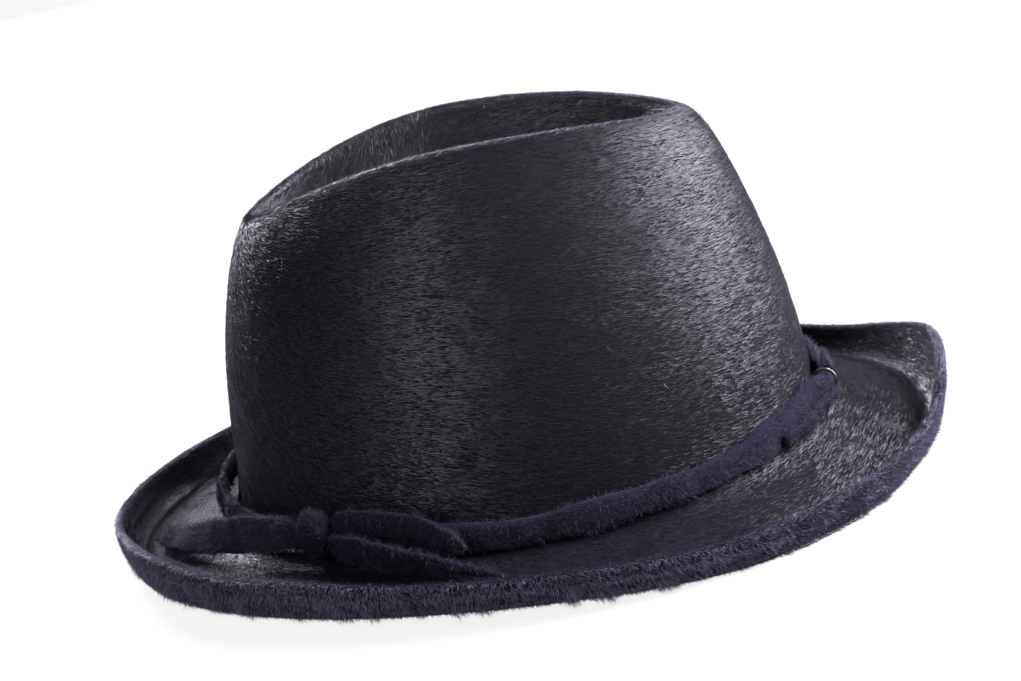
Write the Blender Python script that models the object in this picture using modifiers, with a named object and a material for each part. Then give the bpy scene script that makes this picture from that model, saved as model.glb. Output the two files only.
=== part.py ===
"""A brushed felt hat: one felt shell for crown and brim, a felt strap round the crown, a small ring and a bow.

Metres, +Z up. The front of the hat faces -Y and the wearer's left is +X. The brim rests on z = 0.
A turn is an angle round the crown in degrees: 0 is the left side, 90 the back, 180 the right, 270 the front.
"""
import bmesh
import bpy
import numpy as np

# Felt
WALL = 0.0022
HEM_THICKNESS = 0.0030
AROUND = 56

# Crown, measured on its outer face
HEAD_LENGTH = 0.212
HEAD_WIDTH = 0.176
HEAD_LINE_HEIGHT = 0.013
HEAD_LINE_BACK_RISE = 0.005
RIDGE_LENGTH = 0.154
RIDGE_WIDTH = 0.076
RIDGE_SHIFT = -0.004
RIDGE_HEIGHT = 0.1315
RIDGE_FRONT_FALL = 0.0182
RIDGE_BACK_FALL = 0.0085
RIDGE_POINT = 1.2
DENT_DEPTH = 0.027
DENT_FRONT_FILL = 0.25
DENT_BACK_FILL = 0.35
CREASE_SHARE = 0.72
CREASE_POINT = 0.7

# Brim, from the head line to the bend and from the bend to the rim
BRIM_ENDS = 0.0355
BRIM_SIDES = 0.0295
CURL_ENDS = 0.0045
CURL_SIDES = 0.001
BRIM_POINT = 0.97
RIM_RISE = 0.030
BEND_ARCH = 0.0072
REST_PRESS = 0.0005

# Strap round the crown
CLEARANCE = 0.0003
BAND_HEIGHT = 0.0095
BAND_THICKNESS = 0.0026
BAND_STANDOFF = 0.0005
BAND_WAVE = 0.0005
MIDDLE_WAVES = 7
HEIGHT_WAVES = 11
NECK_LENGTH = 0.034
NECK_THICKNESS = 0.0022
NECK_STEP = 2.0
DIRECTION_STEP = 0.5

# Ring that holds the strap together
RING_TURN = 73.0
RING_RADIUS = 0.0040
RING_WIRE = 0.0010

# Bow
STRAP_WIDTH = 0.009
STRAP_THICKNESS = 0.0024
KNOT_TURN = 319.0
KNOT_WIDTH = 0.013
KNOT_DEPTH = 0.009
KNOT_HEIGHT = 0.015
KNOT_LIFT = 0.0115
KNOT_SOFTNESS = 0.8

# Height of the rim's edge above the bend's lowest line: turn, share of RIM_RISE
RIM_ROWS = (
    (0, 0.52), (25, 0.42), (45, 0.46), (65, 0.62), (80, 0.98), (90, 0.98), (105, 0.72), (120, 0.46), (150, 0.38),
    (180, 0.42), (215, 0.44), (240, 0.44), (262, 0.50), (285, 0.66), (302, 0.70), (318, 0.70), (332, 0.66),
    (346, 0.60),
)
# Arch of the brim's bend above the surface: turn, share of BEND_ARCH
ARCH_ROWS = (
    (0, 0.80), (14, 0.40), (28, 0.07), (38, 0.0), (48, 0.10), (62, 0.50), (80, 0.76), (100, 0.60), (120, 0.18),
    (140, 0.0), (160, 0.16), (180, 0.36), (205, 0.31), (235, 0.05), (252, 0.0), (270, 0.12), (288, 0.30),
    (305, 0.66), (318, 0.88), (330, 1.0), (346, 1.0),
)
# Crown wall: share of the height, then share of the way in from the head line to the ridge at the sides, the
# front and the back
CROWN_ROWS = (
    (0.00, 0.00, 0.00, 0.00), (0.03, 0.01, 0.05, 0.05), (0.10, 0.03, 0.10, 0.10), (0.25, 0.08, 0.15, 0.17),
    (0.42, 0.18, 0.23, 0.27), (0.58, 0.32, 0.34, 0.40), (0.74, 0.51, 0.50, 0.56), (0.86, 0.69, 0.66, 0.70),
    (0.94, 0.85, 0.81, 0.82), (0.985, 0.95, 0.93, 0.93), (1.00, 1.00, 1.00, 1.00),
)
# Dent: share of the way in from the ridge to the crease, share of DENT_DEPTH
DENT_ROWS = (
    (0.00, 0.00), (0.06, 0.015), (0.14, 0.10), (0.26, 0.30), (0.45, 0.62), (0.65, 0.86), (0.82, 0.965), (1.00, 1.00),
)
# Brim: share of the way out from the head line to the bend, share of the drop
BRIM_ROWS = ((0.00, 0.00), (0.05, 0.12), (0.16, 0.28), (0.40, 0.50), (0.68, 0.76), (0.87, 0.94), (1.00, 1.00))
# Turned-up edge: share of the way out from the bend to the rim, share of the rise
CURL_ROWS = ((0.00, 0.00), (0.40, 0.10), (0.70, 0.32), (0.88, 0.60), (0.97, 0.85), (1.00, 1.00))
HEM_LOOPS = 2
# Strap round the crown: turn, height of its middle above the head line as a share of BAND_HEIGHT
BAND_ROWS = (
    (0, 0.58), (20, 0.60), (45, 0.66), (60, 0.78), (73, 0.88), (86, 0.84), (100, 0.72), (130, 0.60), (180, 0.57),
    (230, 0.58), (262, 0.72), (285, 0.70), (300, 0.62), (319, 0.57), (345, 0.57),
)
# How far the strap hangs clear of the crown: turn, share of BAND_THICKNESS
SLACK_ROWS = (
    (0, 0.0), (55, 0.0), (95, 0.0), (150, 0.0), (200, 0.0), (235, 0.35), (262, 1.10), (284, 1.60), (296, 1.35),
    (308, 0.35), (315, 0.0), (325, 0.0), (340, 0.0),
)
# Strips of felt. A row is a share of the strip's reach round the crown, its distance from the crown wall and its
# height over the brim as shares of KNOT_DEPTH and KNOT_HEIGHT, its width and thickness as shares of STRAP_WIDTH
# and STRAP_THICKNESS, and its lean in degrees: 0 stands on edge, 90 lies flat.
LEFT_TAIL_REACH = -41.0
LEFT_TAIL_ROWS = (
    (0.00, 0.95, 0.72, 0.95, 1.0, 0), (0.18, 1.15, 0.70, 1.25, 1.0, 8), (0.38, 1.45, 0.60, 1.30, 1.0, 18),
    (0.60, 1.90, 0.46, 1.20, 1.0, 40), (0.82, 2.55, 0.32, 0.95, 1.0, 58), (1.00, 3.15, 0.28, 0.60, 0.8, 62),
)
RIGHT_LOOP_REACH = 24.0
RIGHT_LOOP_ROWS = (
    (0.00, 0.66, 0.98, 0.60, 1.0, 0), (0.20, 0.64, 0.99, 0.85, 1.0, 0), (0.50, 0.64, 0.93, 0.90, 1.0, 4),
    (0.75, 0.74, 0.82, 0.90, 1.0, 10), (0.92, 0.94, 0.62, 0.75, 1.0, 18), (1.00, 1.02, 0.46, 0.50, 0.8, 24),
)
RIGHT_TAIL_REACH = 30.0
RIGHT_TAIL_ROWS = (
    (0.00, 0.98, 0.58, 0.80, 1.0, 6), (0.20, 1.18, 0.54, 1.10, 1.0, 12), (0.45, 1.42, 0.46, 1.15, 1.0, 24),
    (0.70, 1.72, 0.36, 0.95, 1.0, 38), (0.88, 2.00, 0.28, 0.70, 1.0, 48), (1.00, 2.22, 0.24, 0.36, 0.8, 52),
)
# Strands at the ring: turn past the ring, then as above with shares of the ring's radius, STRAP_WIDTH and
# STRAP_THICKNESS, measured from the ring's centre
LEFT_STRAND_ROWS = (
    (-24.0, 0.80, -0.60, 0.40, 0.80, 0), (-17.0, 0.95, -0.95, 0.50, 0.90, 10), (-9.5, 0.95, -1.05, 0.52, 0.90, 20),
    (-4.5, 0.90, -0.95, 0.42, 0.85, 30), (-1.0, 0.66, -0.74, 0.28, 0.75, 40),
)
BACK_STRAND_ROWS = (
    (0.9, 0.62, 0.76, 0.26, 0.75, -30), (5.0, 0.78, 0.72, 0.36, 0.85, -18), (12.0, 0.82, 0.35, 0.38, 0.85, -6),
    (22.0, 0.80, -0.20, 0.26, 0.75, 0),
)
SECTION_POINTS = 10
FACE_FLATNESS = 0.5
EDGE_ROUNDNESS = 0.7
STEPS_PER_ROW = 3

FELT_NAVY = (0.012, 0.011, 0.026, 1.0)
FELT_STRAP = (0.016, 0.014, 0.034, 1.0)
RING_METAL = (0.62, 0.55, 0.42, 1.0)


def clear_scene():
    """Remove what a new Blender scene holds."""
    for item in list(bpy.data.objects):
        bpy.data.objects.remove(item, do_unlink=True)


def new_collection(name):
    collection = bpy.data.collections.new(name)
    bpy.context.scene.collection.children.link(collection)
    return collection


def new_material(name, colour, roughness, metallic=0.0):
    material = bpy.data.materials.new(name)
    material.use_nodes = True
    shader = material.node_tree.nodes["Principled BSDF"]
    shader.inputs["Base Color"].default_value = colour
    shader.inputs["Roughness"].default_value = roughness
    shader.inputs["Metallic"].default_value = metallic
    return material


def new_object(name, mesh, collection, material):
    item = bpy.data.objects.new(name, mesh)
    collection.objects.link(item)
    mesh.materials.append(material)
    for face in mesh.polygons:
        face.use_smooth = True
    return item


def curve_through(rows, places):
    """Smooth curve through rows whose first column is the place: a cubic between each pair of rows."""
    rows = np.array(rows, float)
    slopes = np.gradient(rows, rows[:, 0], axis=0)
    index = np.clip(np.searchsorted(rows[:, 0], places, side="right") - 1, 0, len(rows) - 2)
    span = (rows[index + 1, 0] - rows[index, 0])[:, None]
    u = (places - rows[index, 0])[:, None] / span
    start, end = rows[index], rows[index + 1]
    rise = (2 * u**3 - 3 * u**2 + 1) * start + (3 * u**2 - 2 * u**3) * end
    bend = (u**3 - 2 * u**2 + u) * span * slopes[index] + (u**3 - u**2) * span * slopes[index + 1]
    return rise + bend


def round_the_crown(rows, turns):
    """Smooth closed curve through (turn, value) rows, read at the given turns."""
    table = np.array(rows, float)
    before, after = table.copy(), table.copy()
    before[:, 0] -= 360.0
    after[:, 0] += 360.0
    return curve_through(np.vstack([before, table, after]), np.mod(turns, 360.0))[:, 1]


def oval(turns, width, length, shift=0.0, point=1.0):
    """Outline in plan. A point above 1 draws its front and back to a tip, below 1 it is fuller."""
    across, along = np.cos(np.radians(turns)), np.sin(np.radians(turns))
    x = width / 2 * np.sign(across) * np.abs(across) ** point
    return np.column_stack([x, shift + length / 2 * along])


def towards(turns, front, back):
    """Share that grows from the sides to 1 at the front, and to 1 at the back, times each value."""
    along = np.sin(np.radians(turns))
    return front * np.clip(-along, 0, 1) ** 2 + back * np.clip(along, 0, 1) ** 2


def head_outline(turns):
    return oval(turns, HEAD_WIDTH, HEAD_LENGTH)


def head_height(turns):
    return HEAD_LINE_HEIGHT + towards(turns, 0.0, HEAD_LINE_BACK_RISE)


def ridge_outline(turns):
    return oval(turns, RIDGE_WIDTH, RIDGE_LENGTH, RIDGE_SHIFT, RIDGE_POINT)


def ridge_height(turns):
    return RIDGE_HEIGHT - towards(turns, RIDGE_FRONT_FALL, RIDGE_BACK_FALL)


def bend_outline(turns):
    return oval(turns, HEAD_WIDTH + 2 * BRIM_SIDES, HEAD_LENGTH + 2 * BRIM_ENDS, point=BRIM_POINT)


def bend_height(turns):
    return WALL - REST_PRESS + BEND_ARCH * round_the_crown(ARCH_ROWS, turns)


def rim_outline(turns):
    sides = HEAD_WIDTH + 2 * (BRIM_SIDES + CURL_SIDES)
    ends = HEAD_LENGTH + 2 * (BRIM_ENDS + CURL_ENDS)
    return oval(turns, sides, ends, point=BRIM_POINT)


def rim_height(turns):
    return RIM_RISE * round_the_crown(RIM_ROWS, turns)


def wall_outline(turns, heights):
    """Outline of the crown wall at the given heights, one height for each turn."""
    table = np.array(CROWN_ROWS)
    low, high = head_height(turns), ridge_height(turns)
    rise = np.clip((heights - low) / (high - low), 0, 1)
    side, front, back = [np.interp(rise, table[:, 0], column) for column in table[:, 1:].T]
    share = side + towards(turns, front - side, back - side)
    head = head_outline(turns)
    return head + (ridge_outline(turns) - head) * share[:, None]


def brim_height(turns, distance):
    """Height of the brim's upper face at a distance out from the crown."""
    table = np.array(BRIM_ROWS)
    width = np.linalg.norm(bend_outline(turns) - head_outline(turns), axis=1)
    drop = np.interp(distance / width, table[:, 0], table[:, 1])
    return head_height(turns) + (bend_height(turns) - head_height(turns)) * drop


def outward(turns):
    """Unit direction away from the crown, level with the ground."""
    along = head_outline(turns + DIRECTION_STEP) - head_outline(turns - DIRECTION_STEP)
    normal = np.column_stack([along[:, 1], -along[:, 0]])
    return normal / np.linalg.norm(normal, axis=1, keepdims=True)


def beside_crown(turns, distance, heights):
    """Points at the given heights and distances out from the crown wall."""
    plan = wall_outline(turns, heights) + outward(turns) * np.reshape(distance, (-1, 1))
    return np.column_stack([plan, heights])


def shell_rings():
    """Rings of points over the felt's upper face, from the crease out to the rim."""
    turns = np.arange(AROUND) * 360.0 / AROUND
    ridge, top = ridge_outline(turns), ridge_height(turns)
    along = np.sin(np.radians(turns))
    even = np.arcsin(along) / (np.pi / 2)
    crease = np.column_stack([0 * even, RIDGE_SHIFT + RIDGE_LENGTH / 2 * CREASE_SHARE * even])
    depth = DENT_DEPTH * (1 - towards(turns, DENT_FRONT_FILL, DENT_BACK_FILL))
    rings = []
    for across, drop in DENT_ROWS[:0:-1]:
        point = RIDGE_POINT + (CREASE_POINT - RIDGE_POINT) * across
        lip = oval(turns, RIDGE_WIDTH, RIDGE_LENGTH, RIDGE_SHIFT, point)
        plan = lip + (crease - lip) * across
        rings.append(np.column_stack([plan, top - depth * drop]))
    head, low = head_outline(turns), head_height(turns)
    for rise, side, front, back in CROWN_ROWS[::-1]:
        share = side + towards(turns, front - side, back - side)
        plan = head + (ridge - head) * share[:, None]
        rings.append(np.column_stack([plan, low + (top - low) * rise]))
    bend, foot = bend_outline(turns), bend_height(turns)
    for out, drop in BRIM_ROWS[1:]:
        rings.append(np.column_stack([head + (bend - head) * out, low + (foot - low) * drop]))
    rim, edge = rim_outline(turns), rim_height(turns)
    for out, rise in CURL_ROWS[1:]:
        rings.append(np.column_stack([bend + (rim - bend) * out, foot + (edge - foot) * rise]))
    return rings


def loft(name, rings, closed_path=False, caps=False):
    """Mesh of quads between rings that have as many points each, in a path from the first to the last."""
    count, size = len(rings), len(rings[0])
    build = bmesh.new()
    rows = []
    for ring in rings:
        rows.append([build.verts.new(point) for point in ring])
    for index in range(count if closed_path else count - 1):
        inner, outer = rows[index], rows[(index + 1) % count]
        for place in range(size):
            after = (place + 1) % size
            build.faces.new((inner[place], outer[place], outer[after], inner[after]))
    if caps:
        build.faces.new(rows[0])
        build.faces.new(rows[-1][::-1])
    mesh = bpy.data.meshes.new(name)
    build.to_mesh(mesh)
    build.free()
    return mesh


def make_felt_shell(parts, cutters, material):
    """One felt shell: an open surface given its wall, thicker at the hem, pressed flat where it rests."""
    mesh = loft("hat_body", shell_rings())
    build = bmesh.new()
    build.from_mesh(mesh)
    bmesh.ops.remove_doubles(build, verts=build.verts, dist=0.00001)
    build.to_mesh(mesh)
    build.free()
    shell = new_object("hat_body", mesh, parts, material)

    felt = shell.vertex_groups.new(name="felt")
    hem_start = len(mesh.vertices) - HEM_LOOPS * AROUND
    felt.add(list(range(hem_start)), WALL / HEM_THICKNESS, "REPLACE")
    felt.add(list(range(hem_start, len(mesh.vertices))), 1.0, "REPLACE")
    wall = shell.modifiers.new("felt wall", "SOLIDIFY")
    wall.thickness = HEM_THICKNESS
    wall.offset = -1.0
    wall.use_even_offset = True
    wall.use_quality_normals = True
    wall.vertex_group = "felt"

    length = HEAD_LENGTH + 2 * (BRIM_ENDS + CURL_ENDS)
    surface = bpy.data.meshes.new("surface")
    build = bmesh.new()
    bmesh.ops.create_cube(build, size=1.0)
    bmesh.ops.scale(build, verts=build.verts, vec=(2 * length, 2 * length, WALL))
    bmesh.ops.translate(build, verts=build.verts, vec=(0.0, 0.0, -WALL / 2))
    build.to_mesh(surface)
    build.free()
    cutter = bpy.data.objects.new("surface", surface)
    cutters.objects.link(cutter)
    cutter.hide_render = True
    cutter.display_type = "WIRE"
    press = shell.modifiers.new("pressed flat where it rests", "BOOLEAN")
    press.operation = "DIFFERENCE"
    press.solver = "EXACT"
    press.object = cutter


def neck_share(turns):
    """1 where the strap passes through the ring, easing to 0 half the neck's length away on each side."""
    radius = HEAD_LENGTH / 2
    reach = np.degrees(NECK_LENGTH / 2 / radius)
    away = np.clip(np.abs(turns - RING_TURN) / reach, 0, 1)
    return 0.5 + 0.5 * np.cos(np.pi * away)


def ring_inner():
    return RING_RADIUS - RING_WIRE / 2


def ring_outer():
    return RING_RADIUS + RING_WIRE / 2


def band_section(turns):
    """Height of the strap's middle, its own height, its stand-off from the crown, its thickness."""
    neck = neck_share(turns)
    wave = np.radians(turns)
    middle = head_height(turns) + BAND_HEIGHT * round_the_crown(BAND_ROWS, turns)
    middle = middle + BAND_WAVE * np.sin(MIDDLE_WAVES * wave) * (1 - neck)
    neck_height = 2 * np.sqrt((ring_inner() - CLEARANCE) ** 2 - (NECK_THICKNESS / 2) ** 2)
    height = BAND_HEIGHT + (neck_height - BAND_HEIGHT) * neck
    height = height - BAND_WAVE * (1 + np.cos(HEIGHT_WAVES * wave)) * (1 - neck)
    standoff_at_ring = ring_outer() + CLEARANCE * 2 - NECK_THICKNESS / 2
    slack = BAND_THICKNESS * np.clip(round_the_crown(SLACK_ROWS, turns), 0, None)
    standoff = BAND_STANDOFF + slack + (standoff_at_ring - BAND_STANDOFF) * neck
    thickness = BAND_THICKNESS + (NECK_THICKNESS - BAND_THICKNESS) * neck
    return middle, height, standoff, thickness


def rounded_section(angle):
    """Section of a strap, from -1 to 1 each way: flat on its faces and round at its edges."""
    thick = np.sign(np.cos(angle)) * np.abs(np.cos(angle)) ** FACE_FLATNESS
    wide = np.sign(np.sin(angle)) * np.abs(np.sin(angle)) ** EDGE_ROUNDNESS
    return thick, wide


def band_turns():
    """The shell's own turns, so that strap and crown have parallel facets, and closer ones along the neck."""
    turns = np.arange(AROUND) * 360.0 / AROUND
    neck = RING_TURN + NECK_STEP * np.arange(-3, 4)
    apart = np.abs(turns[:, None] - neck[None, :]).min(axis=1)
    return np.sort(np.concatenate([turns[apart > NECK_STEP / 2], neck]))


def make_band(parts, material):
    """Strap round the crown: its inner face follows the wall, its edges are rounded."""
    turns = band_turns()
    middle, height, standoff, thickness = band_section(turns)
    around = np.arange(SECTION_POINTS) * 2 * np.pi / SECTION_POINTS
    columns = []
    for angle in around:
        out, up = rounded_section(angle)
        distance = standoff + thickness * (0.5 + 0.5 * out)
        columns.append(beside_crown(turns, distance, middle + up * height / 2))
    rings = [np.array([column[place] for column in columns]) for place in range(len(turns))]
    new_object("band", loft("band", rings, closed_path=True), parts, material)


def make_strip(name, points, widths, thicknesses, leans, parts, material):
    """Strip of felt along a path: a rounded section carried along it, on edge or leaning over."""
    tangents = np.gradient(points, axis=0)
    tangents = tangents / np.linalg.norm(tangents, axis=1, keepdims=True)
    upright = np.array([0.0, 0.0, 1.0]) - tangents * tangents[:, 2:]
    upright = upright / np.linalg.norm(upright, axis=1, keepdims=True)
    side = np.cross(tangents, upright)
    around = np.arange(SECTION_POINTS) * 2 * np.pi / SECTION_POINTS
    thick, wide = rounded_section(around)
    lean = np.radians(leans)[:, None]
    across = upright * np.cos(lean) + side * np.sin(lean)
    through = side * np.cos(lean) - upright * np.sin(lean)
    rings = []
    for index, point in enumerate(points):
        width = across[index] * widths[index] / 2 * wide[:, None]
        depth = through[index] * thicknesses[index] / 2 * thick[:, None]
        rings.append(point + width + depth)
    new_object(name, loft(name, rings, caps=True), parts, material)


def bow_strip(name, rows, start, reach, parts, material):
    """One of the bow's strips, from its start beside the knot round the crown by its reach."""
    share = np.linspace(0, 1, STEPS_PER_ROW * (len(rows) - 1) + 1)
    path = curve_through(rows, share)
    turns = start + reach * share
    distance = path[:, 1] * KNOT_DEPTH
    points = beside_crown(turns, distance, brim_height(turns, distance) + path[:, 2] * KNOT_HEIGHT)
    make_strip(name, points, path[:, 3] * STRAP_WIDTH, path[:, 4] * STRAP_THICKNESS, path[:, 5], parts, material)


def make_bow(parts, material):
    """A knot on the strap, with a tail to the front, and a loop and a tail to the back."""
    turn = np.array([KNOT_TURN])
    distance = np.array([BAND_STANDOFF + BAND_THICKNESS + CLEARANCE + KNOT_DEPTH / 2])
    centre = beside_crown(turn, distance, brim_height(turn, distance) + KNOT_LIFT)[0]
    build = bmesh.new()
    bmesh.ops.create_uvsphere(build, u_segments=16, v_segments=10, radius=1.0)
    for vertex in build.verts:
        for axis, size in enumerate((KNOT_WIDTH, KNOT_DEPTH, KNOT_HEIGHT)):
            part = vertex.co[axis]
            vertex.co[axis] = np.sign(part) * abs(part) ** KNOT_SOFTNESS * size / 2
    mesh = bpy.data.meshes.new("bow_knot")
    build.to_mesh(mesh)
    build.free()
    knot = new_object("bow_knot", mesh, parts, material)
    out = outward(turn)[0]
    knot.location = centre
    knot.rotation_euler = (0.0, 0.0, np.arctan2(out[1], out[0]) - np.pi / 2)

    height = centre[2:]
    ahead = beside_crown(turn + DIRECTION_STEP, distance, height)[0]
    behind = beside_crown(turn - DIRECTION_STEP, distance, height)[0]
    along_per_turn = np.linalg.norm(ahead - behind) / (2 * DIRECTION_STEP)
    half = (KNOT_WIDTH / 2 + CLEARANCE) / along_per_turn
    bow_strip("bow_left_tail", LEFT_TAIL_ROWS, KNOT_TURN - half, LEFT_TAIL_REACH, parts, material)
    bow_strip("bow_right_loop", RIGHT_LOOP_ROWS, KNOT_TURN + half, RIGHT_LOOP_REACH, parts, material)
    bow_strip("bow_right_tail", RIGHT_TAIL_ROWS, KNOT_TURN + half, RIGHT_TAIL_REACH, parts, material)


def ring_strand(name, rows, parts, material):
    """A strand of felt that runs up to the ring, placed from the ring's centre."""
    turns = np.array([row[0] for row in rows])
    turns = np.linspace(turns[0], turns[-1], STEPS_PER_ROW * (len(rows) - 1) + 1)
    path = curve_through(rows, turns)
    turns = RING_TURN + turns
    middle, _, standoff, thickness = band_section(turns)
    distance = standoff + thickness / 2 + path[:, 1] * RING_RADIUS
    points = beside_crown(turns, distance, middle + path[:, 2] * RING_RADIUS)
    make_strip(name, points, path[:, 3] * STRAP_WIDTH, path[:, 4] * STRAP_THICKNESS, path[:, 5], parts, material)


def make_ring(parts, metal, felt):
    """Wire ring round the strap's neck, and the two strands of felt that run up to it."""
    bpy.ops.mesh.primitive_torus_add(
        major_segments=24, minor_segments=8, major_radius=RING_RADIUS, minor_radius=RING_WIRE / 2)
    ring = bpy.context.object
    ring.name = "band_ring"
    mesh = ring.data
    mesh.name = "band_ring"
    for holder in list(ring.users_collection):
        holder.objects.unlink(ring)
    parts.objects.link(ring)
    mesh.materials.append(metal)
    for face in mesh.polygons:
        face.use_smooth = True
    turn = np.array([RING_TURN])
    middle, _, standoff, thickness = band_section(turn)
    ring.location = beside_crown(turn, standoff + thickness / 2, middle)[0]
    out = outward(turn)[0]
    ring.rotation_euler = (np.pi / 2, 0.0, np.arctan2(out[1], out[0]))
    ring_strand("ring_left_strand", LEFT_STRAND_ROWS, parts, felt)
    ring_strand("ring_back_strand", BACK_STRAND_ROWS, parts, felt)


def build_hat():
    clear_scene()
    parts = new_collection("felt_hat")
    cutters = new_collection("cutters")
    body_felt = new_material("brushed navy felt", FELT_NAVY, 0.75)
    strap_felt = new_material("navy felt strap", FELT_STRAP, 0.85)
    metal = new_material("pale metal wire", RING_METAL, 0.35, 1.0)
    make_felt_shell(parts, cutters, body_felt)
    make_band(parts, strap_felt)
    make_bow(parts, strap_felt)
    make_ring(parts, metal, strap_felt)


build_hat()
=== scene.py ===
"""The looks of a brushed felt hat: long navy nap round the crown, a felt strap with a bow, and a wire ring.

Metres, +Z up. The front of the hat faces -Y and the wearer's left is +X. The brim rests on z = 0.
A turn is an angle round the crown in degrees: 0 is the left side, 90 the back, 180 the right, 270 the front.
A place is the distance along the felt from the crease on top, over the ridge and down the crown, to the rim.
Every surface is a grid of points with one row for each place and one column for each turn.
"""

import bmesh
import bpy
import numpy as np
from mathutils import Matrix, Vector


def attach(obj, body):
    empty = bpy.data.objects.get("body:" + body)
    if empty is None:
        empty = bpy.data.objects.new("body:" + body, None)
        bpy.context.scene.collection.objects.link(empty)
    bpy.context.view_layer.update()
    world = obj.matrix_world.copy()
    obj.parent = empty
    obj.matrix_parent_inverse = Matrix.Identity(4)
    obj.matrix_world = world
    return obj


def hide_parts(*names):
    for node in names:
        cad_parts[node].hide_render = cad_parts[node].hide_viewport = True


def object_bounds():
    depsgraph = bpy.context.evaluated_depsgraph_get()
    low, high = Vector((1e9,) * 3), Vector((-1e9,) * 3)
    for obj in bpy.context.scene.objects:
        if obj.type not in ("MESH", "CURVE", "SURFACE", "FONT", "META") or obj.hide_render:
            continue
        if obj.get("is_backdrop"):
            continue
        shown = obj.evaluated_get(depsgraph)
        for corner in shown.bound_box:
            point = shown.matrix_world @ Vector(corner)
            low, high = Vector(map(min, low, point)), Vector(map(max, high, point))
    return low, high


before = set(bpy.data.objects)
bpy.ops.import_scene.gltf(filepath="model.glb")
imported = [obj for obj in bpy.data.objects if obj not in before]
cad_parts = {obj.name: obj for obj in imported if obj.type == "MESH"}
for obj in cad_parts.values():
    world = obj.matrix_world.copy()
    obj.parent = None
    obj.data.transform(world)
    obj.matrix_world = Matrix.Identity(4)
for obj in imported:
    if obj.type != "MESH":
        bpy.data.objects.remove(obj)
cad_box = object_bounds()

# Felt
WALL = 0.0022
HEM_THICKNESS = 0.0030
HEM_WIDTH = 0.007

# Crown, measured on its outer face
HEAD_LENGTH = 0.212
HEAD_WIDTH = 0.176
HEAD_LINE_HEIGHT = 0.013
HEAD_LINE_BACK_RISE = 0.005
RIDGE_LENGTH = 0.154
RIDGE_WIDTH = 0.076
RIDGE_SHIFT = -0.004
RIDGE_HEIGHT = 0.1315
RIDGE_FRONT_FALL = 0.0182
RIDGE_BACK_FALL = 0.0085
RIDGE_POINT = 1.2
DENT_DEPTH = 0.027
DENT_FRONT_FILL = 0.25
DENT_BACK_FILL = 0.35
CREASE_SHARE = 0.72
CREASE_POINT = 0.7

# Brim, from the head line to the bend and from the bend to the rim
BRIM_ENDS = 0.0355
BRIM_SIDES = 0.0295
CURL_ENDS = 0.0045
CURL_SIDES = 0.001
BRIM_POINT = 0.97
RIM_RISE = 0.030
BEND_ARCH = 0.0072
REST_PRESS = 0.0005

# Strap round the crown
BAND_HEIGHT = 0.0095
BAND_THICKNESS = 0.0026
BAND_STANDOFF = 0.0005
BAND_WAVE = 0.0005
MIDDLE_WAVES = 7
HEIGHT_WAVES = 11
CLEARANCE = 0.0003
NECK_LENGTH = 0.034
NECK_THICKNESS = 0.0022

# Ring
RING_TURN = 73.0
RING_RADIUS = 0.0040
RING_WIRE = 0.0010

# Bow
STRAP_WIDTH = 0.009
STRAP_THICKNESS = 0.0024
KNOT_TURN = 319.0
KNOT_WIDTH = 0.013
KNOT_DEPTH = 0.009
KNOT_HEIGHT = 0.015
KNOT_LIFT = 0.0115
DIRECTION_STEP = 0.5

# Height of the rim's edge above the bend's lowest line: turn, share of RIM_RISE
RIM_ROWS = (
    (0, 0.52), (25, 0.42), (45, 0.46), (65, 0.62), (80, 0.98), (90, 0.98), (105, 0.72), (120, 0.46),
    (150, 0.38), (180, 0.42), (215, 0.44), (240, 0.44), (262, 0.50), (285, 0.66), (302, 0.70), (318, 0.70),
    (332, 0.66), (346, 0.60),
)
# Small waves of the rim's edge: turn, metres
RIM_WAVE_ROWS = (
    (0, 0.0003), (20, -0.0005), (60, 0.0004), (150, -0.0004), (210, 0.0005), (270, 0.0), (303, 0.0006),
    (317, -0.0010), (326, 0.0008), (337, -0.0002), (350, 0.0),
)
# Arch of the brim's bend above the surface: turn, share of BEND_ARCH
ARCH_ROWS = (
    (0, 0.80), (14, 0.40), (28, 0.07), (38, 0.0), (48, 0.10), (62, 0.50), (80, 0.76), (100, 0.60), (120, 0.18),
    (140, 0.0), (160, 0.16), (180, 0.36), (205, 0.31), (235, 0.05), (252, 0.0), (270, 0.12), (288, 0.30),
    (305, 0.66), (318, 0.88), (330, 1.0), (346, 1.0),
)
# Crown wall: share of the height, then share of the way in from the head line to the ridge at the sides, the
# front and the back
CROWN_ROWS = (
    (0.00, 0.00, 0.00, 0.00), (0.03, 0.01, 0.05, 0.05), (0.10, 0.03, 0.10, 0.10), (0.25, 0.08, 0.15, 0.17),
    (0.42, 0.18, 0.23, 0.27), (0.58, 0.32, 0.34, 0.40), (0.74, 0.51, 0.50, 0.56), (0.86, 0.69, 0.66, 0.70),
    (0.94, 0.85, 0.81, 0.82), (0.985, 0.95, 0.93, 0.93), (1.00, 1.00, 1.00, 1.00),
)
# Dent: share of the way in from the ridge to the crease, share of DENT_DEPTH
DENT_ROWS = (
    (0.00, 0.00), (0.06, 0.015), (0.14, 0.10), (0.26, 0.30), (0.45, 0.62), (0.65, 0.86), (0.82, 0.965),
    (1.00, 1.00),
)
# Brim: share of the way out from the head line to the bend, share of the drop
BRIM_ROWS = ((0.00, 0.00), (0.05, 0.12), (0.16, 0.28), (0.40, 0.50), (0.68, 0.76), (0.87, 0.94), (1.00, 1.00))
# Turned-up edge: share of the way out from the bend to the rim, share of the rise
CURL_ROWS = ((0.00, 0.00), (0.40, 0.10), (0.70, 0.32), (0.88, 0.60), (0.97, 0.85), (1.00, 1.00))
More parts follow.
